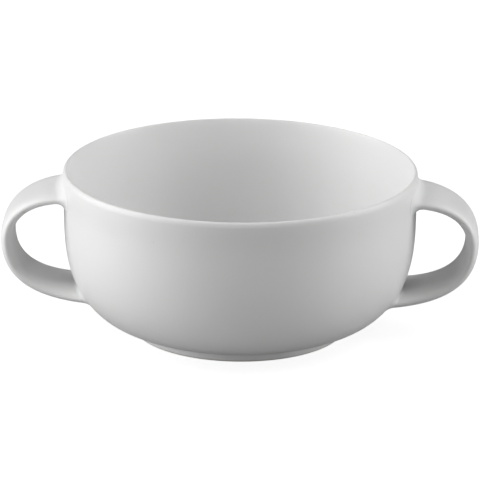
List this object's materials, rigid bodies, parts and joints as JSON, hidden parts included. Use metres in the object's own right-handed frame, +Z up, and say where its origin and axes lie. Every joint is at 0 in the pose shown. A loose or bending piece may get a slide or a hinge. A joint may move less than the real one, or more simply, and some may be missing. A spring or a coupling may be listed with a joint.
{
  "type": "soup cup",
  "caption": "White glazed soup cup: a deep rounded bowl with a plain thin rim, a low foot ring with a bare stand edge, and looped strap handles on opposite sides.",
  "frame": {"origin": "middle of the plane that the foot ring stands on", "axes": "+X through both handles, +Z up along the bowl's axis"},
  "size_m": [0.152, 0.1128, 0.053],
  "materials": {
    "glazed_porcelain": "gloss",
    "glazed_slip": "gloss",
    "bare_porcelain": "matte"
  },
  "bodies": {
    "root": {"bowl": "glazed_porcelain", "foot_ring": "bare_porcelain", "handle_left": "glazed_porcelain", "handle_right": "glazed_porcelain", "slip_fillet_left_upper": "glazed_slip", "slip_fillet_left_lower": "glazed_slip", "slip_fillet_right_upper": "glazed_slip", "slip_fillet_right_lower": "glazed_slip"}
  },
  "joints": []
}
